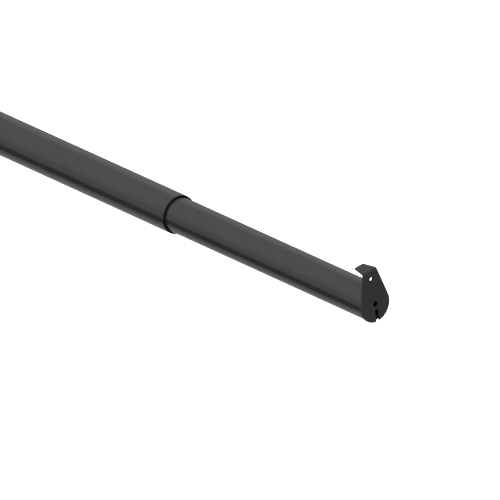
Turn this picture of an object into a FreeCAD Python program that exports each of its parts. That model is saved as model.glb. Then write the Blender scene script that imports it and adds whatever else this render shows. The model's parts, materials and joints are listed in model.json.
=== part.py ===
import FreeCAD, Part
import math
import os
import re

import Sketcher
from FreeCAD import Placement, Rotation, Vector

# A telescoping bar with a hooked steel plate at each end. Millimetres, +X along the bar from the
# outer tube's plate to the inner tube's plate, +Z up towards the hooks. The origin is on the tubes'
# axis, on the outside face of the outer tube's plate.

DIMENSIONS = {
    # the two tubes
    "outer_tube_radius": 15.875,
    "outer_tube_wall": 0.9,
    "outer_tube_length": 758,
    "inner_tube_radius": 14.2875,
    "inner_tube_wall": 1.0,
    "inner_tube_length": 700,
    "exposed_length": 230.2,
    # pressed-out bumps that stop the inner tube from pulling out
    "stop_bump_height": 0.45,
    "stop_bump_sphere": 4,
    "stop_bump_from_end": 208.9,
    # end plates: round below, narrowing to a tab that is bent back over the tube
    "plate_thickness": 1.2,
    "inner_plate_radius": 14.3,
    "outer_plate_radius": 15.9,
    "plate_disc_drop": 0.9,
    "plate_top": 29.8,
    "plate_top_half_width": 6.7,
    "plate_bend_radius": 1.6,
    "tab_length": 13.3,
    "tab_tip_half_width": 4.45,
    "tab_corner_radius": 1.2,
    "screw_hole_height": 22.3,
    "screw_hole_radius": 1.5,
    "centre_hole_radius": 2.25,
    "slot_top_depth": 4.7,
    "slot_half_width": 1.5,
    # collars that carry the plates inside the tubes' ends, and their rivets
    "collar_wall": 2,
    "collar_length": 16,
    "rivet_offset": 9,
    "rivet_radius": 1.6,
    "rivet_head_height": 1,
    "rivet_head_sphere": 5.62,
    "rivet_tail_radius": 2.5,
    "rivet_tail_height": 1.6,
    "mandrel_radius": 0.9,
    "mandrel_depth": 0.5,
    # plastic guide bush in the outer tube's mouth
    "bush_length": 30,
    "bush_clearance": 0.07,
    "bush_lip_thickness": 1,
    "bush_lip_step": 0.08,
    # glide at the hidden end of the inner tube
    "plug_insert_length": 22,
    "plug_core_radius": 9,
    "plug_core_depth": 17,
    "plug_flange_thickness": 2,
    "plug_flange_step": 0.15,
    "plug_journal_radius": 11.9,
    "plug_journal_length": 12.4,
    "plug_pin_offset": 11,
    "plug_pin_depth": 3,
    "glide_clearance": 0.06,
    "glide_end_gap": 0.15,
    "glide_split": 2.4,
    "washer_radius": 13.5,
    "washer_thickness": 1.5,
    "glide_screw_radius": 2,
    "glide_screw_length": 12,
    "glide_screw_head_radius": 4,
    "glide_screw_head_height": 2.4,
    "driver_slot_width": 1,
    "driver_slot_length": 5.2,
    "driver_slot_depth": 1,
    # length lock, behind and below the mouth of the outer tube
    "lock_offset": 15,
    "lock_boss_radius": 6,
    "lock_boss_height": 4.6,
    "lock_boss_chamfer": 0.6,
    "lock_thread_radius": 3,
    "lock_hole_radius": 3.25,
    "lock_screw_clearance": 0.05,
    "lock_screw_length": 5,
    "lock_socket_radius": 1.75,
    "lock_socket_depth": 2.6,
    "lock_pad_gap": 0.05,
    "lock_pad_thickness": 1.4,
}

# Places along the bar, as formulas on the sheet.
OUTER_TUBE_START = "plate_thickness"
TUBE_MOUTH = "(plate_thickness + outer_tube_length)"
INNER_TUBE_END = "(plate_thickness + outer_tube_length + bush_lip_thickness + exposed_length)"
INNER_TUBE_START = f"({INNER_TUBE_END} - inner_tube_length)"
BAR_END = f"({INNER_TUBE_END} + plate_thickness)"
LOCK_PLACE = f"({TUBE_MOUTH} - lock_offset)"

OUTER_BORE = "(outer_tube_radius - outer_tube_wall)"
INNER_BORE = "(inner_tube_radius - inner_tube_wall)"

ALONG_X = Rotation(Vector(0, 1, 0), 90)
FRONT, DOWN, BACK = 90, 180, 270  # turns about X that carry +Z to -Y, -Z and +Y
LOCK_SIDE = 225  # halfway between DOWN and BACK
CLEAR = 2  # how far a cut runs past the material
REACH = 20  # how far a trimming rod runs along the bar to each side of a piece

doc = FreeCAD.newDocument("telescoping_bar")
sheet = doc.addObject("Spreadsheet::Sheet", "dims")
for row, (alias, value) in enumerate(DIMENSIONS.items(), start=1):
    sheet.set(f"A{row}", alias)
    sheet.set(f"B{row}", str(value))
    sheet.setAlias(f"B{row}", alias)
doc.recompute()

nodes = []


def formula(text):
    """The text as an expression, with every dimension's name read from the sheet."""
    return re.sub(r"[a-z_]+", lambda word: f"dims.{word[0]}" if word[0] in DIMENSIONS else word[0], text)


def bind(item, **formulas):
    for name, text in formulas.items():
        item.setExpression(name, formula(text))
    return item


def node(item, name):
    item.Label = name
    nodes.append(item)
    return item


# ---- Part primitives and booleans ----


def rod(name, radius, length, along="0"):
    """A cylinder on the tubes' axis, from a place along it towards +X."""
    item = bind(doc.addObject("Part::Cylinder", name), Radius=radius, Height=length)
    item.Placement = Placement(Vector(), ALONG_X)
    item.setExpression("Placement.Base.x", formula(along))
    return item


def spoke(name, radius, inside, outside, along, side):
    """A cylinder square to the tubes' axis, between two distances from it."""
    item = bind(doc.addObject("Part::Cylinder", name), Radius=radius, Height=f"{outside} - ({inside})")
    return aim(item, inside, along, side)


def outward(side):
    """The (Y, Z) direction in which a side faces."""
    turn = math.radians(side)
    return round(-math.sin(turn), 9), round(math.cos(turn), 9)


def aim(item, inside, along, side):
    """Points an object's own +Z away from the tubes' axis, starting at a distance from it."""
    across, up = outward(side)
    item.Placement = Placement(Vector(), Rotation(Vector(1, 0, 0), side))
    bind(item, **{
        "Placement.Base.x": along,
        "Placement.Base.y": f"{across} * ({inside})",
        "Placement.Base.z": f"{up} * ({inside})",
    })
    return item


def trimmer(name, radius, middle):
    """A rod on the tubes' axis that trims a piece to a tube's round surface."""
    return rod(name, radius, f"2 * {REACH}", f"{middle} - {REACH}")


def cut(name, base, *tools):
    item = doc.addObject("Part::Cut", name)
    item.Base = base
    item.Tool = tools[0] if len(tools) == 1 else fuse(f"{name}_tools", *tools)
    return item


def fuse(name, *shapes):
    item = doc.addObject("Part::MultiFuse", name)
    item.Shapes = list(shapes)
    return item


def common(name, *shapes):
    item = doc.addObject("Part::MultiCommon", name)
    item.Shapes = list(shapes)
    return item


def group(name, *solids):
    item = doc.addObject("Part::Compound", name)
    item.Links = list(solids)
    return item


# ---- PartDesign bodies ----


def new_body(name):
    return doc.addObject("PartDesign::Body", name)


def new_sketch(body, name, plane):
    sketch = body.newObject("Sketcher::SketchObject", name)
    support = next(f for f in body.Origin.OriginFeatures if f.Role == plane)
    sketch.AttachmentSupport = (support, [""])
    sketch.MapMode = "FlatFace"
    return sketch


def constrain(sketch, name, text, *constraint):
    """A named dimension of a sketch that follows the sheet."""
    index = sketch.addConstraint(Sketcher.Constraint(*constraint))
    sketch.renameConstraint(index, name)
    sketch.setExpression(f"Constraints.{name}", formula(text))


def circle(sketch, name, radius, across="0", up="0"):
    """A circle of the given radius, with its centre at (across, up) from the sketch's origin."""
    index = sketch.addGeometry(Part.Circle(Vector(0.1, 0.1, 0), Vector(0, 0, 1), 1))
    constrain(sketch, f"{name}_radius", radius, "Radius", index, 1.0)
    for kind, part, text in (("DistanceX", "across", across), ("DistanceY", "up", up)):
        if text == "0":
            sketch.addConstraint(Sketcher.Constraint(kind, -1, 1, index, 3, 0))
        else:
            constrain(sketch, f"{name}_{part}", text, kind, -1, 1, index, 3, 0.1)
    return index


def closed_lines(sketch, *corners):
    """A closed run of straight lines through the corners. Returns the first line's number."""
    first = sketch.GeometryCount
    for k, (across, up) in enumerate(corners):
        after = corners[(k + 1) % len(corners)]
        sketch.addGeometry(Part.LineSegment(Vector(across, up, 0), Vector(*after, 0)))
    for k in range(len(corners)):
        join = (first + k, 2, first + (k + 1) % len(corners), 1)
        sketch.addConstraint(Sketcher.Constraint("Coincident", *join))
    return first


def pocket(body, name, sketch, both_ways=False, reverse=False):
    """A cut through all: both ways from the sketch's plane, or one way only."""
    before = body.Tip.Shape.Volume
    cutter = body.newObject("PartDesign::Pocket", name)
    cutter.Profile = sketch
    cutter.Type = "ThroughAll"
    cutter.Midplane = both_ways
    cutter.Reversed = reverse
    doc.recompute()
    if not cutter.Shape.Volume < before - 1e-6:
        raise ValueError(f"{name} cuts nothing")
    return cutter


def drill(body, name, side, radius, along):
    """A round hole through one wall of a tube, on the named side."""
    sketch = new_sketch(body, f"{name}_sketch", "XY_Plane")
    sketch.AttachmentOffset = Placement(Vector(), Rotation(Vector(1, 0, 0), side))
    circle(sketch, "hole", radius, along)
    return pocket(body, name, sketch, reverse=True)


# ---- Tubes ----


def make_outer_tube():
    body = new_body("outer_tube")
    ring = new_sketch(body, "outer_tube_ring", "YZ_Plane")
    circle(ring, "outside", "outer_tube_radius")
    circle(ring, "bore", OUTER_BORE)
    pad = body.newObject("PartDesign::Pad", "outer_tube_pad")
    pad.Profile = ring
    bind(pad, Length="outer_tube_length")
    doc.recompute()
    for side in (FRONT, BACK):
        drill(body, f"outer_tube_rivet_hole_{side}", side, "rivet_radius", "rivet_offset")
    drill(body, "outer_tube_lock_hole", LOCK_SIDE, "lock_hole_radius", "outer_tube_length - lock_offset")
    return node(bind(body, **{"Placement.Base.x": OUTER_TUBE_START}), "outer_tube")


def make_inner_tube():
    body = new_body("inner_tube")
    disc = new_sketch(body, "inner_tube_disc", "YZ_Plane")
    circle(disc, "outside", "inner_tube_radius")
    pad = body.newObject("PartDesign::Pad", "inner_tube_pad")
    pad.Profile = disc
    bind(pad, Length="inner_tube_length")
    doc.recompute()

    bump = body.newObject("PartDesign::AdditiveSphere", "stop_bump")
    bind(bump, Radius="stop_bump_sphere")
    bind(bump, **{
        "Placement.Base.x": "stop_bump_from_end",
        "Placement.Base.z": "inner_tube_radius + stop_bump_height - stop_bump_sphere",
    })
    doc.recompute()
    bumps = body.newObject("PartDesign::PolarPattern", "stop_bumps")
    bumps.Originals = [bump]
    bumps.Axis = (next(f for f in body.Origin.OriginFeatures if f.Role == "X_Axis"), [""])
    bumps.Angle = 360
    bumps.Occurrences = 3
    body.Tip = bumps
    doc.recompute()

    bore = new_sketch(body, "inner_tube_bore_sketch", "YZ_Plane")
    circle(bore, "bore", INNER_BORE)
    pocket(body, "inner_tube_bore", bore, reverse=True)
    for side in (BACK, DOWN):
        drill(body, f"inner_tube_rivet_hole_{side}", side, "rivet_radius", "inner_tube_length - rivet_offset")
    for side in (FRONT, BACK):
        drill(body, f"inner_tube_pin_hole_{side}", side, "rivet_radius", "plug_pin_offset")
    return node(bind(body, **{"Placement.Base.x": INNER_TUBE_START}), "inner_tube")


# ---- End plates ----


def bend_strip(body, radius, size):
    """A wide strip with the plate's side view: flat up to the bend, then back over the tube."""
    thick, bend, top = size["plate_thickness"], size["plate_bend_radius"], size["plate_top"]
    low, tip = -size[radius] - size["plate_disc_drop"], -size["tab_length"]
    sketch = new_sketch(body, f"{body.Name}_side", "XZ_Plane")
    centre, normal = Vector(-bend, top - bend, 0), Vector(0, 0, 1)
    for piece in (
        Part.LineSegment(Vector(0, low, 0), Vector(0, top - bend, 0)),
        Part.ArcOfCircle(Part.Circle(centre, normal, bend), 0, math.pi / 2),
        Part.LineSegment(Vector(-bend, top, 0), Vector(tip, top, 0)),
        Part.LineSegment(Vector(tip, top, 0), Vector(tip, top - thick, 0)),
        Part.LineSegment(Vector(tip, top - thick, 0), Vector(-bend, top - thick, 0)),
        Part.ArcOfCircle(Part.Circle(centre, normal, bend - thick), 0, math.pi / 2),
        Part.LineSegment(Vector(-thick, top - bend, 0), Vector(-thick, low, 0)),
        Part.LineSegment(Vector(-thick, low, 0), Vector(0, low, 0)),
    ):
        sketch.addGeometry(piece)
    face, outer_bend, roof, tab_end, underside, inner_bend, back, foot = range(8)
    for meeting in (
        (face, 2, outer_bend, 1),
        (outer_bend, 2, roof, 1),
        (underside, 2, inner_bend, 2),
        (inner_bend, 1, back, 1),
    ):
        sketch.addConstraint(Sketcher.Constraint("Tangent", *meeting))
    for first, second in ((roof, tab_end), (tab_end, underside), (back, foot), (foot, face)):
        sketch.addConstraint(Sketcher.Constraint("Coincident", first, 2, second, 1))
    sketch.addConstraint(Sketcher.Constraint("Coincident", outer_bend, 3, inner_bend, 3))
    sketch.addConstraint(Sketcher.Constraint("PointOnObject", face, 1, -2))
    for kind, line in (("Vertical", face), ("Horizontal", roof), ("Vertical", tab_end), ("Horizontal", foot)):
        sketch.addConstraint(Sketcher.Constraint(kind, line))
    constrain(sketch, "bend", "plate_bend_radius", "Radius", outer_bend, bend)
    constrain(sketch, "thickness", "plate_thickness", "Distance", foot, thick)
    constrain(sketch, "top", "plate_top", "DistanceY", -1, 1, roof, 1, top)
    constrain(sketch, "bottom", f"{radius} + plate_disc_drop", "DistanceY", foot, 2, -1, 1, -low)
    constrain(sketch, "reach", "tab_length", "DistanceX", tab_end, 1, -1, 1, -tip)
    strip = body.newObject("PartDesign::Pad", f"{body.Name}_strip")
    strip.Profile = sketch
    strip.Midplane = True
    bind(strip, Length=f"2 * ({radius} + {CLEAR})")
    doc.recompute()


def cut_outline(body, radius, size):
    """The front view: a disc over the tube's end, with straight flanks that close in towards the top."""
    disc, half, top = size[radius], size["plate_top_half_width"], size["plate_top"]
    drop = size["plate_disc_drop"]
    lean = math.atan2(top + drop, half) - math.acos(disc / math.hypot(half, top + drop))
    touch_across, touch_up = disc * math.cos(lean), disc * math.sin(lean) - drop
    middle, normal = Vector(0, -drop, 0), Vector(0, 0, 1)
    sketch = new_sketch(body, f"{body.Name}_front", "YZ_Plane")
    for piece in (
        Part.ArcOfCircle(Part.Circle(middle, normal, disc), math.pi - lean, 2 * math.pi + lean),
        Part.LineSegment(Vector(touch_across, touch_up, 0), Vector(half, top, 0)),
        Part.LineSegment(Vector(half, top, 0), Vector(-half, top, 0)),
        Part.LineSegment(Vector(-half, top, 0), Vector(-touch_across, touch_up, 0)),
    ):
        sketch.addGeometry(piece)
    arc, right, crown, left = range(4)
    sketch.addConstraint(Sketcher.Constraint("PointOnObject", arc, 3, -2))
    sketch.addConstraint(Sketcher.Constraint("Tangent", arc, 2, right, 1))
    sketch.addConstraint(Sketcher.Constraint("Tangent", left, 2, arc, 1))
    sketch.addConstraint(Sketcher.Constraint("Coincident", right, 2, crown, 1))
    sketch.addConstraint(Sketcher.Constraint("Coincident", crown, 2, left, 1))
    sketch.addConstraint(Sketcher.Constraint("Symmetric", crown, 1, crown, 2, -2))
    constrain(sketch, "disc", radius, "Radius", arc, disc)
    constrain(sketch, "drop", "plate_disc_drop", "DistanceY", arc, 3, -1, 1, drop)
    constrain(sketch, "top", "plate_top", "DistanceY", -1, 1, crown, 1, top)
    constrain(sketch, "width", "2 * plate_top_half_width", "DistanceX", crown, 2, crown, 1, 2 * half)
    far = disc + top
    closed_lines(sketch, (-far, -far), (far, -far), (far, far), (-far, far))
    pocket(body, f"{body.Name}_outline", sketch, both_ways=True)


def cut_tab_sides(body, size):
    """The tab narrows from the bend to its tip: a wedge comes off each side of it."""
    bend, tip = -size["plate_bend_radius"], -size["tab_length"]
    root, end = size["plate_top_half_width"], size["tab_tip_half_width"]
    beyond, wide = tip - CLEAR, root + CLEAR
    sketch = new_sketch(body, f"{body.Name}_taper", "XY_Plane")
    for side, sign in (("right", -1), ("left", 1)):
        corners = ((bend, root), (tip, end), (beyond, end), (beyond, wide), (bend, wide))
        slope = closed_lines(sketch, *((along, sign * across) for along, across in corners))
        constrain(sketch, f"bend_{side}", "plate_bend_radius", "DistanceX", slope, 1, -1, 1, -bend)
        constrain(sketch, f"tip_{side}", "tab_length", "DistanceX", slope, 2, -1, 1, -tip)
        for point, half_width in ((1, "plate_top_half_width"), (2, "tab_tip_half_width")):
            ends = (-1, 1, slope, point) if sign > 0 else (slope, point, -1, 1)
            constrain(sketch, f"{half_width}_{side}", half_width, "DistanceY", *ends, size[half_width])
    pocket(body, f"{body.Name}_tab_sides", sketch, reverse=True)


def cut_holes(body):
    sketch = new_sketch(body, f"{body.Name}_holes", "YZ_Plane")
    circle(sketch, "screw", "screw_hole_radius", up="screw_hole_height")
    circle(sketch, "centre", "centre_hole_radius")
    pocket(body, f"{body.Name}_hole_cut", sketch, both_ways=True)


def cut_slot(body, radius, size):
    """A slot with a round top, open at the plate's bottom edge."""
    half, low = size["slot_half_width"], -size[radius] - size["plate_disc_drop"] - CLEAR
    arc_height = -size["slot_top_depth"] - half
    sketch = new_sketch(body, f"{body.Name}_slot", "YZ_Plane")
    for piece in (
        Part.ArcOfCircle(Part.Circle(Vector(0, arc_height, 0), Vector(0, 0, 1), half), 0, math.pi),
        Part.LineSegment(Vector(-half, arc_height, 0), Vector(-half, low, 0)),
        Part.LineSegment(Vector(-half, low, 0), Vector(half, low, 0)),
        Part.LineSegment(Vector(half, low, 0), Vector(half, arc_height, 0)),
    ):
        sketch.addGeometry(piece)
    arc, left, foot, right = range(4)
    sketch.addConstraint(Sketcher.Constraint("Tangent", arc, 2, left, 1))
    sketch.addConstraint(Sketcher.Constraint("Tangent", right, 2, arc, 1))
    sketch.addConstraint(Sketcher.Constraint("Coincident", left, 2, foot, 1))
    sketch.addConstraint(Sketcher.Constraint("Coincident", foot, 2, right, 1))
    sketch.addConstraint(Sketcher.Constraint("Vertical", left))
    sketch.addConstraint(Sketcher.Constraint("Horizontal", foot))
    sketch.addConstraint(Sketcher.Constraint("PointOnObject", arc, 3, -2))
    constrain(sketch, "half_width", "slot_half_width", "Radius", arc, half)
    constrain(sketch, "depth", "slot_top_depth + slot_half_width", "DistanceY", arc, 3, -1, 1, -arc_height)
    bottom = f"{radius} + plate_disc_drop + {CLEAR}"
    constrain(sketch, "bottom", bottom, "DistanceY", foot, 1, -1, 1, -low)
    pocket(body, f"{body.Name}_slot_cut", sketch, both_ways=True)


def round_tab_tip(body, size):
    """Rounds the two upright corners at the tab's tip."""
    plate = body.Tip
    upright = [
        f"Edge{number}"
        for number, edge in enumerate(plate.Shape.Edges, start=1)
        if all(abs(point.X + size["tab_length"]) < 1e-3 for point in edge.Vertexes)
        and edge.BoundBox.ZLength > size["plate_thickness"] / 2
    ]
    corners = body.newObject("PartDesign::Fillet", f"{body.Name}_tip_corners")
    corners.Base = (plate, upright)
    bind(corners, Radius="tab_corner_radius")


def make_end_plate(name, radius, along, about_z):
    """A hooked plate. Its outside face is at its own x = 0 and faces +X, and its tab reaches towards -X."""
    size = {alias: sheet.get(alias) for alias in DIMENSIONS}
    body = new_body(name)
    bend_strip(body, radius, size)
    cut_outline(body, radius, size)
    cut_tab_sides(body, size)
    cut_holes(body)
    cut_slot(body, radius, size)
    round_tab_tip(body, size)
    body.Placement = Placement(Vector(), Rotation(Vector(0, 0, 1), about_z))
    body.setExpression("Placement.Base.x", formula(along))
    return node(body, name)


# ---- Collars and rivets ----


def make_collar(name, bore, sides, along, rivet_place):
    """A ring inside a tube's end, drilled for the rivets on the given sides."""
    outside = rod(f"{name}_outside", bore, "collar_length", along)
    inside = rod(f"{name}_inside", f"{bore} - collar_wall", "collar_length", along)
    drills = [
        spoke(f"{name}_drill_{side}", "rivet_radius", "0", f"{bore} + {CLEAR}", rivet_place, side)
        for side in sides
    ]
    return node(cut(name, outside, inside, *drills), name)


def make_domed_rivets(name, surface, bore, sides, along):
    """Blind rivets with a domed head that is seated on the tube and a tail inside the collar."""
    rivets = []
    for side in sides:
        part = f"{name}_{side}"
        ball = bind(doc.addObject("Part::Sphere", f"{part}_ball"), Radius="rivet_head_sphere")
        aim(ball, f"{surface} + rivet_head_height - rivet_head_sphere", along, side)
        head = cut(f"{part}_head", ball, trimmer(f"{part}_seat", surface, along))
        shank_start = f"{bore} - collar_wall - rivet_tail_height / 2"
        shank_end = f"{surface} + rivet_head_height / 2"
        shank = spoke(f"{part}_shank", "rivet_radius", shank_start, shank_end, along, side)
        tail_start = f"{bore} - collar_wall - rivet_tail_height"
        tail_rod = spoke(f"{part}_tail_rod", "rivet_tail_radius", tail_start, bore, along, side)
        inside = trimmer(f"{part}_inside", f"{bore} - collar_wall", along)
        tail = common(f"{part}_tail", tail_rod, inside)
        head_end = f"{surface} + rivet_head_height"
        pit_start, pit_end = f"{head_end} - mandrel_depth", f"{head_end} + {CLEAR}"
        mandrel = spoke(f"{part}_mandrel", "mandrel_radius", pit_start, pit_end, along, side)
        rivets.append(cut(part, fuse(f"{part}_whole", head, shank, tail), mandrel))
    return node(group(name, *rivets), name)


def make_flush_pins(name, inside, sides, along):
    """Pins that end level with the inner tube, which has to slide into the outer one."""
    pins = []
    for side in sides:
        part = f"{name}_{side}"
        shank_end = f"inner_tube_radius + {CLEAR}"
        shank = spoke(f"{part}_shank", "rivet_radius", inside, shank_end, along, side)
        pins.append(common(part, shank, trimmer(f"{part}_trim", "inner_tube_radius", along)))
    return node(group(name, *pins), name)


# ---- Plastic guides ----


def make_guide_bush():
    sleeve = rod("guide_bush_sleeve", OUTER_BORE, "bush_length", f"{TUBE_MOUTH} - bush_length")
    lip = rod("guide_bush_lip", "outer_tube_radius - bush_lip_step", "bush_lip_thickness", TUBE_MOUTH)
    bore = rod(
        "guide_bush_bore",
        "inner_tube_radius + bush_clearance",
        f"bush_length + 2 * {CLEAR}",
        f"{TUBE_MOUTH} - bush_length - {CLEAR}",
    )
    window = spoke(
        "guide_bush_window", "lock_hole_radius", "0", "outer_tube_radius", LOCK_PLACE, LOCK_SIDE
    )
    return node(cut("guide_bush", fuse("guide_bush_solid", sleeve, lip), bore, window), "guide_bush")


def make_glide_plug():
    flange_end = f"({INNER_TUBE_START} - plug_flange_thickness)"
    insert = rod("glide_plug_insert", INNER_BORE, "plug_insert_length", INNER_TUBE_START)
    flange_radius = "inner_tube_radius - plug_flange_step"
    flange = rod("glide_plug_flange", flange_radius, "plug_flange_thickness", flange_end)
    journal_end = f"{flange_end} - plug_journal_length"
    journal = rod("glide_plug_journal", "plug_journal_radius", "plug_journal_length", journal_end)
    core_start = f"{INNER_TUBE_START} + plug_insert_length - plug_core_depth"
    core = rod("glide_plug_core", "plug_core_radius", "plug_core_depth", core_start)
    pilot = rod("glide_plug_pilot", "glide_screw_radius", "glide_screw_length", journal_end)
    pin_end, pin_place = f"{INNER_BORE} - plug_pin_depth", f"{INNER_TUBE_START} + plug_pin_offset"
    holes = [
        spoke(f"glide_plug_pin_hole_{side}", "rivet_radius", pin_end, "inner_tube_radius", pin_place, side)
        for side in (FRONT, BACK)
    ]
    solid = fuse("glide_plug_solid", insert, flange, journal)
    return node(cut("glide_plug", solid, core, pilot, *holes), "glide_plug")


GLIDE_END = f"({INNER_TUBE_START} - plug_flange_thickness - plug_journal_length)"


def make_glide_ring():
    """A split ring that rubs on the outer tube's bore and lets the plug's journal turn in it."""
    start, length = f"{GLIDE_END} + glide_end_gap", "plug_journal_length - 2 * glide_end_gap"
    outside = rod("glide_ring_outside", f"{OUTER_BORE} - glide_clearance", length, start)
    inside = rod("glide_ring_inside", "plug_journal_radius + glide_clearance", length, start)
    split = bind(
        doc.addObject("Part::Box", "glide_ring_split"),
        Length=length, Width="glide_split", Height="outer_tube_radius",
    )
    bind(split, **{"Placement.Base.x": start, "Placement.Base.y": "-glide_split / 2"})
    return node(cut("glide_ring", outside, inside, split), "glide_ring")


def make_glide_fastening():
    washer_end = f"({GLIDE_END} - washer_thickness)"
    disc = rod("glide_washer_disc", "washer_radius", "washer_thickness", washer_end)
    hole = rod("glide_washer_hole", "glide_screw_radius", "washer_thickness", washer_end)
    node(cut("glide_washer", disc, hole), "glide_washer")

    head_end = f"({washer_end} - glide_screw_head_height)"
    head = rod("glide_screw_head", "glide_screw_head_radius", "glide_screw_head_height", head_end)
    shank_length = "glide_screw_length + washer_thickness + glide_screw_head_height"
    shank = rod("glide_screw_shank", "glide_screw_radius", shank_length, head_end)
    bars = []
    sizes = ("driver_slot_width", "driver_slot_length")
    for turn, (width, height) in enumerate((sizes, sizes[::-1])):
        bar = doc.addObject("Part::Box", f"glide_screw_recess_{turn}")
        bind(bar, Length="driver_slot_depth", Width=width, Height=height)
        bars.append(bind(bar, **{
            "Placement.Base.x": head_end,
            "Placement.Base.y": f"-{width} / 2",
            "Placement.Base.z": f"-{height} / 2",
        }))
    node(cut("glide_screw", fuse("glide_screw_solid", head, shank), *bars), "glide_screw")


# ---- Length lock ----


def make_lock():
    """A threaded boss on the outer tube, with a socket screw that presses a pad on the inner tube."""
    boss_end = "(outer_tube_radius + lock_boss_height)"
    shoulder = f"({boss_end} - lock_boss_chamfer)"
    place = (LOCK_PLACE, LOCK_SIDE)
    barrel = spoke("lock_boss_barrel", "lock_boss_radius", INNER_BORE, shoulder, *place)
    bevel = bind(
        doc.addObject("Part::Cone", "lock_boss_bevel"),
        Radius1="lock_boss_radius",
        Radius2="lock_boss_radius - lock_boss_chamfer",
        Height="lock_boss_chamfer",
    )
    aim(bevel, shoulder, *place)
    seat = trimmer("lock_boss_seat", "outer_tube_radius", LOCK_PLACE)
    thread = spoke("lock_boss_thread", "lock_thread_radius", INNER_BORE, f"{boss_end} + {CLEAR}", *place)
    node(cut("lock_boss", fuse("lock_boss_solid", barrel, bevel), seat, thread), "lock_boss")

    pad_start = "(inner_tube_radius + lock_pad_gap)"
    pad_end = f"({pad_start} + lock_pad_thickness)"
    pad_radius = "lock_thread_radius - lock_screw_clearance"
    node(spoke("lock_pad", pad_radius, pad_start, pad_end, *place), "lock_pad")

    screw_end = f"({pad_end} + lock_screw_length)"
    shaft = spoke("lock_screw_shaft", pad_radius, pad_end, screw_end, *place)
    socket = doc.addObject("Part::Prism", "lock_screw_socket")
    bind(socket, Circumradius="lock_socket_radius", Height=f"lock_socket_depth + {CLEAR}")
    socket.Polygon = 6
    aim(socket, f"{screw_end} - lock_socket_depth", *place)
    node(cut("lock_screw", shaft, socket), "lock_screw")


# ---- The whole bar ----

OUTER_RIVETS = f"({OUTER_TUBE_START} + rivet_offset)"
INNER_RIVETS = f"({INNER_TUBE_END} - rivet_offset)"
INNER_COLLAR = f"({INNER_TUBE_END} - collar_length)"
PLUG_PINS = f"({INNER_TUBE_START} + plug_pin_offset)"

make_outer_tube()
make_end_plate("outer_end_plate", "outer_plate_radius", "0", 180)
make_collar("outer_end_collar", OUTER_BORE, (FRONT, BACK), OUTER_TUBE_START, OUTER_RIVETS)
make_domed_rivets("outer_end_rivets", "outer_tube_radius", OUTER_BORE, (FRONT, BACK), OUTER_RIVETS)
make_guide_bush()
make_lock()
make_inner_tube()
make_end_plate("inner_end_plate", "inner_plate_radius", BAR_END, 0)
make_collar("inner_end_collar", INNER_BORE, (BACK, DOWN), INNER_COLLAR, INNER_RIVETS)
make_flush_pins("inner_end_rivets", f"{INNER_BORE} - collar_wall", (BACK, DOWN), INNER_RIVETS)
make_glide_plug()
make_flush_pins("glide_plug_pins", f"{INNER_BORE} - plug_pin_depth", (FRONT, BACK), PLUG_PINS)
make_glide_ring()
make_glide_fastening()

doc.recompute()
failed = [item.Name for item in doc.Objects if {"Invalid", "Error"} & set(item.State)]
if failed:
    raise ValueError(f"these objects failed: {failed}")
for item in nodes:
    if item.Shape.isNull() or not item.Shape.isValid() or not item.Shape.Solids:
        raise ValueError(f"{item.Label} has no valid solid")

os.makedirs("parts", exist_ok=True)
for item in nodes:
    item.Shape.exportStep(f"parts/{item.Label}.step")
    box = item.Shape.BoundBox
    print(f"{item.Label:18s} {len(item.Shape.Solids)} solid(s) {item.Shape.Volume:10.1f} mm3", end="")
    print(f"  x {box.XMin:8.2f}..{box.XMax:8.2f}", end="")
    print(f"  y {box.YMin:7.2f}..{box.YMax:7.2f}  z {box.ZMin:7.2f}..{box.ZMax:7.2f}")
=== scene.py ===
"""Finish, studio and camera for the telescoping door bar."""

import json
import math

import bmesh
import bpy
from mathutils import Matrix, Vector


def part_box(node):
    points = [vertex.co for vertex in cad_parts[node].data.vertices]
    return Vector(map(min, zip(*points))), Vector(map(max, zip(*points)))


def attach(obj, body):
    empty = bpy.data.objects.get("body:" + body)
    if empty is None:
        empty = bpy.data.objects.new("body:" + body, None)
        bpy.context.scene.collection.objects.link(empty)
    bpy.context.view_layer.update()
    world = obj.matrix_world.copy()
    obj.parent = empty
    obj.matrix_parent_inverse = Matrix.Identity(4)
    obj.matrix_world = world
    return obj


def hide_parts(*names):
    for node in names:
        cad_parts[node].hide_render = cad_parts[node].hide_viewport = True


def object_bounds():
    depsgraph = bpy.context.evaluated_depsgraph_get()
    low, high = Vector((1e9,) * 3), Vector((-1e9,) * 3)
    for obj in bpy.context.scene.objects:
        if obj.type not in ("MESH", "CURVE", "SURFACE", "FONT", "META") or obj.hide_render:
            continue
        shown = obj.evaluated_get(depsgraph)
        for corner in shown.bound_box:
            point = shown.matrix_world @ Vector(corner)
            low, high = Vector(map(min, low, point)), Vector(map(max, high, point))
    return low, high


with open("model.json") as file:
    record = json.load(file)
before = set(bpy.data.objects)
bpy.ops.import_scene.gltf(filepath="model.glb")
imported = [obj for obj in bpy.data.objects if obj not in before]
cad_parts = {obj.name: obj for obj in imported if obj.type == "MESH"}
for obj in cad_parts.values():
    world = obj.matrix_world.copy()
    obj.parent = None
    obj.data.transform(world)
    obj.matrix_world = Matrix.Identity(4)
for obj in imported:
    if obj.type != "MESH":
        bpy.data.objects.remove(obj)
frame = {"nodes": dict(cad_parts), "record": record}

CAD_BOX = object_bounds()
NODES = frame["nodes"]
MM = 0.001


# ---------------------------------------------------------------- materials


def add(tree, kind, **values):
    """A new shader node, with its properties and its inputs set by name."""
    node = tree.nodes.new(kind)
    for name, value in values.items():
        if name in node.inputs:
            node.inputs[name].default_value = value
        else:
            setattr(node, name, value)
    return node


def new_material(name, **sockets):
    """A Principled material with constant sockets set, and its tree and shader."""
    material = bpy.data.materials.new(name)
    material.use_nodes = True
    tree = material.node_tree
    shader = next(n for n in tree.nodes if n.type == "BSDF_PRINCIPLED")
    for socket, value in sockets.items():
        shader.inputs[socket].default_value = value
    return material, tree, shader


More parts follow.
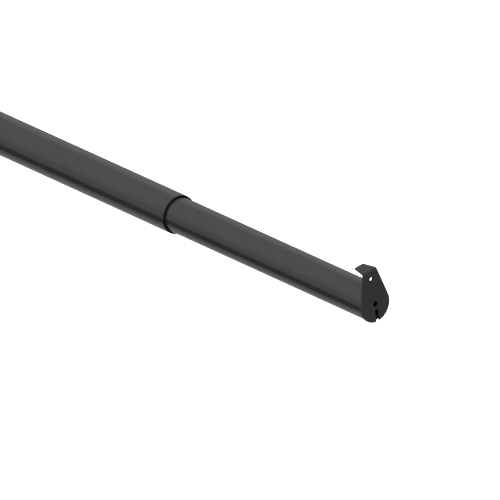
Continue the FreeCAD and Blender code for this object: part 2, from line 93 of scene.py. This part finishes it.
def noise(tree, size, stretch=(1, 1, 1), detail=2.0, roughness=0.5):
    """Noise in the object's own space whose blobs are about size metres across."""
    place = add(tree, "ShaderNodeTexCoord")
    mapping = add(tree, "ShaderNodeMapping", Scale=[1 / (size * s) for s in stretch])
    tree.links.new(place.outputs["Object"], mapping.inputs["Vector"])
    texture = add(tree, "ShaderNodeTexNoise", Scale=1.0, Detail=detail, Roughness=roughness)
    tree.links.new(mapping.outputs["Vector"], texture.inputs["Vector"])
    return texture.outputs["Fac"]


def spread(tree, value, low, high, start=0.3, end=0.7):
    """A noise value spread over low to high."""
    node = add(tree, "ShaderNodeMapRange")
    node.inputs["From Min"].default_value = start
    node.inputs["From Max"].default_value = end
    node.inputs["To Min"].default_value = low
    node.inputs["To Max"].default_value = high
    tree.links.new(value, node.inputs["Value"])
    return node.outputs["Result"]


def tint(tree, value, dark, light):
    """A colour between dark and light as a noise value rises."""
    ramp = add(tree, "ShaderNodeValToRGB")
    ramp.color_ramp.elements[0].position = 0.3
    ramp.color_ramp.elements[1].position = 0.7
    ramp.color_ramp.elements[0].color = (*dark, 1)
    ramp.color_ramp.elements[1].color = (*light, 1)
    tree.links.new(value, ramp.inputs["Fac"])
    return ramp.outputs["Color"]


def bumps(tree, shader, layers):
    """Stacks bump layers, each a (height value, depth in metres), on the shader's normal."""
    normal = None
    for height, depth in layers:
        bump = add(tree, "ShaderNodeBump", Strength=1.0, Distance=depth)
        tree.links.new(height, bump.inputs["Height"])
        if normal:
            tree.links.new(normal, bump.inputs["Normal"])
        normal = bump.outputs["Normal"]
    tree.links.new(normal, shader.inputs["Normal"])


def powder_coat(name, dark, light, roughness, streaks, shine):
    """Satin black powder coat: orange peel, fine grain, and rubbing lines along the bar."""
    material, tree, shader = new_material(name, **{"Specular IOR Level": shine})
    cloud = noise(tree, 14 * MM, detail=3.0)
    tree.links.new(tint(tree, cloud, dark, light), shader.inputs["Base Color"])
    lines = noise(tree, 0.6 * MM, stretch=(160, 1, 1), detail=3.0)
    low, high = roughness - streaks, roughness + streaks
    tree.links.new(spread(tree, lines, low, high), shader.inputs["Roughness"])
    peel = noise(tree, 1.1 * MM, detail=1.0)
    grain = noise(tree, 0.25 * MM, detail=2.0)
    bumps(tree, shader, [(peel, 0.012 * MM), (grain, 0.002 * MM)])
    return material


def moulded_plastic(name, dark, light, roughness, shine):
    """Moulded nylon or acetal with a fine grain from the mould."""
    material, tree, shader = new_material(name, **{"Specular IOR Level": shine})
    cloud = noise(tree, 6 * MM, detail=3.0)
    tree.links.new(tint(tree, cloud, dark, light), shader.inputs["Base Color"])
    grain = noise(tree, 0.3 * MM, detail=3.0)
    tree.links.new(
        spread(tree, grain, roughness - 0.06, roughness + 0.06), shader.inputs["Roughness"]
    )
    bumps(tree, shader, [(grain, 0.01 * MM)])
    return material


def oxide_steel(name, dark, light, roughness, metallic, shine):
    """Blackened steel with turning or drawing marks."""
    material, tree, shader = new_material(
        name, **{"Metallic": metallic, "Specular IOR Level": shine}
    )
    cloud = noise(tree, 3 * MM, detail=4.0)
    tree.links.new(tint(tree, cloud, dark, light), shader.inputs["Base Color"])
    marks = noise(tree, 0.2 * MM, stretch=(12, 12, 1), detail=2.0)
    tree.links.new(
        spread(tree, marks, roughness - 0.08, roughness + 0.08), shader.inputs["Roughness"]
    )
    bumps(tree, shader, [(marks, 0.004 * MM)])
    return material


def within(tree, parts, height, radius, runs_down=False):
    """1 inside a hole at that height on the end plates, or in the slot that runs down from it."""
    above = add(tree, "ShaderNodeMath", operation="SUBTRACT")
    tree.links.new(parts.outputs["Z"], above.inputs[0])
    above.inputs[1].default_value = height
    if runs_down:
        rise = add(tree, "ShaderNodeMath", operation="MAXIMUM")
        tree.links.new(above.outputs[0], rise.inputs[0])
        rise.inputs[1].default_value = 0
        above = rise
    offset = add(tree, "ShaderNodeCombineXYZ")
    tree.links.new(parts.outputs["Y"], offset.inputs["Y"])
    tree.links.new(above.outputs[0], offset.inputs["Z"])
    distance = add(tree, "ShaderNodeVectorMath", operation="LENGTH")
    tree.links.new(offset.outputs["Vector"], distance.inputs[0])
    inside = add(tree, "ShaderNodeMath", operation="LESS_THAN")
    tree.links.new(distance.outputs["Value"], inside.inputs[0])
    inside.inputs[1].default_value = radius
    return inside.outputs[0]


def paint_wall_shade(material, openings):
    """Painted shade on the walls of the plates' holes and slot: the colour there drops to a quarter,
    where shade falls inside them.
    """
    tree = material.node_tree
    shader = next(n for n in tree.nodes if n.type == "BSDF_PRINCIPLED")
    colour = shader.inputs["Base Color"].links[0].from_socket
    place = add(tree, "ShaderNodeTexCoord")
    parts = add(tree, "ShaderNodeSeparateXYZ")
    tree.links.new(place.outputs["Object"], parts.inputs["Vector"])
    for height, radius, runs_down in openings:
        # Painted shade: the colour is scaled down to a quarter inside this opening.
        shaded = add(tree, "ShaderNodeVectorMath", operation="SCALE")
        wall = within(tree, parts, height, radius + 0.02 * MM, runs_down)
        tree.links.new(colour, shaded.inputs[0])
        tree.links.new(spread(tree, wall, 1.0, 0.25, start=0, end=1), shaded.inputs["Scale"])
        colour = shaded.outputs["Vector"]
    tree.links.new(colour, shader.inputs["Base Color"])


MATERIALS = {
    "tube_steel": powder_coat("tube_coat", (0.030,) * 3, (0.036,) * 3, 0.22, 0.004, 0.5),
    "plate_steel": powder_coat("plate_coat", (0.057,) * 3, (0.065,) * 3, 0.42, 0.02, 0.11),
    "rivet_steel": powder_coat("rivet_coat", (0.030,) * 3, (0.036,) * 3, 0.30, 0.02, 0.4),
    # The collar's near-black tone is partly painted shade: darker than its blackened steel, it stands
    # in for the shade seen through the plate's holes and slot.
    "collar_steel": oxide_steel("collar_oxide_and_shade", (0.004,) * 3, (0.008,) * 3, 0.6, 0.0, 0.2),
    "screw_steel": oxide_steel("screw_oxide", (0.03,) * 3, (0.06,) * 3, 0.35, 0.8, 0.5),
    "bush_plastic": moulded_plastic("bush_nylon", (0.003,) * 3, (0.005,) * 3, 0.5, 0.2),
    "glide_plastic": moulded_plastic(
        "glide_acetal", (0.52, 0.51, 0.48), (0.6, 0.59, 0.56), 0.42, 0.5
    ),
}

# The screw hole, the centre hole and the slot's round end, whose walls get painted shade: height,
# radius, and whether it runs down.
PLATE_OPENINGS = (
    (22.3 * MM, 1.5 * MM, False),
    (0.0, 2.25 * MM, False),
    (-6.2 * MM, 1.5 * MM, True),
)
paint_wall_shade(MATERIALS["plate_steel"], PLATE_OPENINGS)


# ---------------------------------------------------------------- finish of the CAD pieces

SLOT_OF = {piece["node"]: piece["material_slot"] for piece in frame["record"]["subparts"]}
EDGE_WIDTH = {"guide_bush": 0.1}  # mm, where it isn't the usual one
DEFAULT_EDGE = 0.12


def finish_node(name, node, slot):
    """Gives a CAD piece its material and a small rounding along its sharp edges."""
    for i in range(len(node.material_slots)):
        node.material_slots[i].material = MATERIALS[slot]
    if not node.material_slots:
        node.data.materials.append(MATERIALS[slot])
    weld = node.modifiers.new("weld", "WELD")
    weld.merge_threshold = 0.001 * MM
    bevel = node.modifiers.new("edges", "BEVEL")
    bevel.limit_method = "ANGLE"
    bevel.angle_limit = math.radians(35)
    bevel.width = EDGE_WIDTH.get(name, DEFAULT_EDGE) * MM
    bevel.segments = 2
    shading = node.modifiers.new("shading", "WEIGHTED_NORMAL")
    shading.mode = "FACE_AREA_WITH_ANGLE"
    shading.weight = 100


for name, node in NODES.items():
    finish_node(name, node, SLOT_OF[name])


# ---------------------------------------------------------------- tubes

AROUND = 192  # facets around a tube
TUBE_EDGE = 0.15 * MM  # rounding of the tubes' ends
OUTER_RADIUS, OUTER_BORE = 15.875 * MM, 14.975 * MM
INNER_RADIUS, INNER_BORE = 14.2875 * MM, 13.2875 * MM
FRONT, DOWN, LOCK_SIDE, BACK_SIDE = 90, 180, 225, 270  # turns about X that carry +Z outwards
RIVET_HOLE, LOCK_HOLE = 1.6 * MM, 3.25 * MM
RIVETS_FROM_END, PINS_FROM_END, LOCK_FROM_END = 9 * MM, 11 * MM, 15 * MM
STOPS_FROM_END = 208.9 * MM  # the pull-out stops, from the inner tube's hidden end
STOP_HEIGHT, STOP_REACH = 0.45 * MM, 2.2 * MM


def spoke_matrix(x, side, distance):
    """Carries +Z at the origin to a line square to the bar at x, that far from its axis."""
    turn = Matrix.Rotation(math.radians(side), 4, "X")
    return Matrix.Translation((x, 0, 0)) @ turn @ Matrix.Translation((0, 0, distance))


def rounded_corner(x, r, along, out, steps=4):
    """A rounded corner of a tube's section, from its long side round to its end face."""
    middle = (x - along * TUBE_EDGE, r - out * TUBE_EDGE)
    turns = [math.pi / 2 * step / steps for step in range(steps + 1)]
    return [
        (middle[0] + along * TUBE_EDGE * math.sin(t), middle[1] + out * TUBE_EDGE * math.cos(t))
        for t in turns
    ]


def turned_tube(name, outside, bore, start, end, cuts, swell=None):
    """A tube turned about the X axis, with rings of points at the cuts along its two walls."""
    outer_wall = [(x, outside) for x in cuts]
    inner_wall = [(x, bore) for x in reversed(cuts)]
    mouth = rounded_corner(end, outside, 1, 1) + rounded_corner(end, bore, 1, -1)[::-1]
    foot = rounded_corner(start, bore, -1, -1) + rounded_corner(start, outside, -1, 1)[::-1]
    section = outer_wall + mouth + inner_wall + foot
    points, faces = [], []
    for i in range(AROUND):
        turn = 2 * math.pi * i / AROUND
        for x, r in section:
            r += swell(x, turn) if swell and r == outside else 0
            points.append((x, r * math.cos(turn), r * math.sin(turn)))
    for i in range(AROUND):
        here, there = i * len(section), (i + 1) % AROUND * len(section)
        for k in range(len(section)):
            after = (k + 1) % len(section)
            faces.append((here + k, there + k, there + after, here + after))
    mesh = bpy.data.meshes.new(name)
    mesh.from_pydata(points, [], faces)
    piece = bpy.data.objects.new(name, mesh)
    bpy.context.scene.collection.objects.link(piece)
    return piece


def drill(piece, holes):
    """Cuts round holes, each (x, side, radius), through one wall of a tube."""
    bits = bmesh.new()
    for x, side, radius in holes:
        bit = {"radius1": radius, "radius2": radius, "depth": 8 * MM, "segments": 64}
        place = spoke_matrix(x, side, 15 * MM)
        bmesh.ops.create_cone(bits, cap_ends=True, matrix=place, **bit)
    mesh = bpy.data.meshes.new("bits")
    bits.to_mesh(mesh)
    bits.free()
    cutter = bpy.data.objects.new("bits", mesh)
    bpy.context.scene.collection.objects.link(cutter)
    cut = piece.modifiers.new("holes", "BOOLEAN")
    cut.object = cutter
    cut.solver = "EXACT"
    ready = bpy.context.evaluated_depsgraph_get()
    piece.data = bpy.data.meshes.new_from_object(piece.evaluated_get(ready))
    piece.modifiers.remove(cut)
    bpy.data.objects.remove(cutter)


def finish_tube(piece, node, body):
    """Stands a turned tube in for its CAD node."""
    piece.data.materials.clear()
    piece.data.materials.append(MATERIALS[SLOT_OF[node]])
    for face in piece.data.polygons:
        face.use_smooth = True
    shading = piece.modifiers.new("shading", "WEIGHTED_NORMAL")
    shading.mode = "FACE_AREA_WITH_ANGLE"
    shading.weight = 100
    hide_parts(node)
    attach(piece, body)


def rings(*spans):
    """Places along a tube: each span is (first, last, how many)."""
    return [a + (b - a) * k / (count - 1) for a, b, count in spans for k in range(count)]


def make_outer_tube():
    low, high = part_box("outer_tube")
    start, end = low.x, high.x
    rivets, lock = start + RIVETS_FROM_END, end - LOCK_FROM_END
    cuts = rings(
        (start + 2 * MM, start + 16 * MM, 8),
        (start + 40 * MM, end - 40 * MM, 20),
        (end - 24 * MM, end - 2 * MM, 12),
    )
    tube = turned_tube("outer_tube_skin", OUTER_RADIUS, OUTER_BORE, start, end, cuts)
    holes = [(rivets, FRONT, RIVET_HOLE), (rivets, BACK_SIDE, RIVET_HOLE)]
    drill(tube, holes + [(lock, LOCK_SIDE, LOCK_HOLE)])
    finish_tube(tube, "outer_tube", "outer_bar")


def make_inner_tube():
    low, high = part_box("inner_tube")
    start, end = low.x, high.x
    pins, stops, rivets = start + PINS_FROM_END, start + STOPS_FROM_END, end - RIVETS_FROM_END
    third = math.radians(120)

    def pressed_bump(x, turn):
        """How far the pull-out stops stand up: one at the top and one each 120 degrees on."""
        away = abs((turn - math.pi / 2 + third / 2) % third - third / 2)
        distance = math.hypot(x - stops, away * INNER_RADIUS)
        if distance >= STOP_REACH:
            return 0
        return STOP_HEIGHT * (0.5 + 0.5 * math.cos(math.pi * distance / STOP_REACH))

    cuts = rings(
        (start + 3 * MM, start + 19 * MM, 9),
        (start + 40 * MM, stops - 10 * MM, 6),
        (stops - 2.4 * MM, stops + 2.4 * MM, 17),
        (stops + 10 * MM, end - 40 * MM, 20),
        (end - 17 * MM, end - 2 * MM, 8),
    )
    tube = turned_tube(
        "inner_tube_skin", INNER_RADIUS, INNER_BORE, start, end, cuts, pressed_bump
    )
    holes = [(rivets, BACK_SIDE), (rivets, DOWN), (pins, FRONT), (pins, BACK_SIDE)]
    drill(tube, [(x, side, RIVET_HOLE) for x, side in holes])
    finish_tube(tube, "inner_tube", "inner_bar")


make_outer_tube()
make_inner_tube()


# ---------------------------------------------------------------- floor, light and camera

FLOOR_DROP = 0.6
FLOOR_REACH, FLOOR_CORNER = 60, 20  # far enough that the camera never sees the floor's edge
TABLE_REACH = 0.9 * FLOOR_DROP
low, high = CAD_BOX


def flat_sheet(name, x_range, y_range, z, radius, material):
    """A level sheet with rounded corners."""
    points = []
    for cx, cy, start in (
        (x_range[1] - radius, y_range[1] - radius, 0),
        (x_range[0] + radius, y_range[1] - radius, 90),
        (x_range[0] + radius, y_range[0] + radius, 180),
        (x_range[1] - radius, y_range[0] + radius, 270),
    ):
        for step in range(13):
            turn = math.radians(start + step * 7.5)
            points.append((cx + radius * math.cos(turn), cy + radius * math.sin(turn), z))
    mesh = bpy.data.meshes.new(name)
    mesh.from_pydata(points, [], [list(range(len(points)))])
    mesh.materials.append(material)
    sheet = bpy.data.objects.new(name, mesh)
    bpy.context.scene.collection.objects.link(sheet)
    return sheet


def floor_paint(name, dark, light, glow):
    """Matt pale paint that gives off a little light of its own."""
    material, tree, shader = new_material(name, **{"Roughness": 0.9, "Specular IOR Level": 0.0})
    paper = noise(tree, 50 * MM)
    tree.links.new(tint(tree, paper, (dark,) * 3, (light,) * 3), shader.inputs["Base Color"])
    shader.inputs["Emission Color"].default_value = (1, 1, 1, 1)
    shader.inputs["Emission Strength"].default_value = glow
    return material


# The floor is what the camera sees. The light comes off a smaller table under the bar.
floor = flat_sheet(
    "floor",
    (-FLOOR_REACH, FLOOR_REACH),
    (-FLOOR_REACH, FLOOR_REACH),
    -FLOOR_DROP,
    FLOOR_CORNER,
    floor_paint("floor", 0.88, 0.9, 1.0),
)
floor.visible_glossy = False
floor.visible_diffuse = False
floor.visible_shadow = False
table = flat_sheet(
    "table",
    (low.x - TABLE_REACH, high.x + TABLE_REACH),
    (-TABLE_REACH, TABLE_REACH),
    -FLOOR_DROP + 1 * MM,
    TABLE_REACH * 0.6,
    floor_paint("table", 0.6, 0.62, 0.04),
)
table.visible_camera = False
table.visible_shadow = False

# The studio's brightness by how high it is, and by how far it is to the front (-1) or back (+1).
# Both are given against a component of the direction, from -1 to 1.
BY_HEIGHT = (
    (-0.21, 0.03),
    (-0.135, 0.68),
    (0.0, 0.64),
    (0.15, 0.67),
    (0.35, 0.95),
    (0.5, 1.02),
    (0.6, 0.94),
    (0.7, 0.95),
)
BY_DEPTH = (
    (-0.1, 1.0),
    (0.0, 0.93),
    (0.15, 0.85),
    (0.27, 0.76),
    (0.4, 0.65),
    (0.5, 0.71),
    (0.6, 0.79),
    (0.7, 0.76),
)
BRIGHTEST = 1.2


def by_direction(tree, component, brightness):
    """A grey level that follows one component of the direction of a ray."""
    ramp = add(tree, "ShaderNodeValToRGB")
    stops = ramp.color_ramp.elements
    while len(stops) < len(brightness):
        stops.new(0.5)
    for stop, (place, level) in zip(stops, brightness):
        stop.position = (place + 1) / 2
        stop.color = (level / BRIGHTEST,) * 3 + (1,)
    tree.links.new(spread(tree, component, 0, 1, start=-1, end=1), ramp.inputs["Fac"])
    return ramp.outputs["Color"]


world = bpy.data.worlds.new("studio")
bpy.context.scene.world = world
world.use_nodes = True
sky = world.node_tree
sky.nodes.clear()
out = add(sky, "ShaderNodeOutputWorld")
seen = add(sky, "ShaderNodeBackground", Color=(1, 1, 1, 1), Strength=1.0)
lit = add(sky, "ShaderNodeBackground", Strength=BRIGHTEST**2)
direction = add(sky, "ShaderNodeTexCoord")
parts = add(sky, "ShaderNodeSeparateXYZ")
sky.links.new(direction.outputs["Generated"], parts.inputs["Vector"])
product = add(sky, "ShaderNodeVectorMath", operation="MULTIPLY")
sky.links.new(by_direction(sky, parts.outputs["Z"], BY_HEIGHT), product.inputs[0])
sky.links.new(by_direction(sky, parts.outputs["Y"], BY_DEPTH), product.inputs[1])
sky.links.new(product.outputs["Vector"], lit.inputs["Color"])
ray = add(sky, "ShaderNodeLightPath")
mix = add(sky, "ShaderNodeMixShader")
sky.links.new(ray.outputs["Is Camera Ray"], mix.inputs[0])
sky.links.new(lit.outputs["Background"], mix.inputs[1])
sky.links.new(seen.outputs["Background"], mix.inputs[2])
sky.links.new(mix.outputs["Shader"], out.inputs["Surface"])

# The camera looks down on the bar's free end from its right, through a long lens.
RIGHT = Vector((0.65278, 0.74378, -0.14377))
UP = Vector((-0.29714, 0.42597, 0.85455))
BACK = Vector((0.69684, -0.51512, 0.49907))
VIEW_WIDTH = 0.3836
END_AT = (0.25056, -0.10827)
LENS = 1500.0
SENSOR = 36.0

target = Vector((high.x, 0, 0)) - VIEW_WIDTH * (END_AT[0] * RIGHT + END_AT[1] * UP)
camera_data = bpy.data.cameras.new("camera")
camera_data.lens = LENS
camera_data.sensor_width = SENSOR
camera_data.clip_start = 0.1
camera_data.clip_end = 100
camera = bpy.data.objects.new("camera", camera_data)
bpy.context.scene.collection.objects.link(camera)
rotation = Matrix((RIGHT, UP, BACK)).transposed().to_4x4()
camera.matrix_world = Matrix.Translation(target + BACK * (VIEW_WIDTH * LENS / SENSOR)) @ rotation
bpy.context.scene.camera = camera
bpy.context.scene.view_settings.view_transform = "Standard"
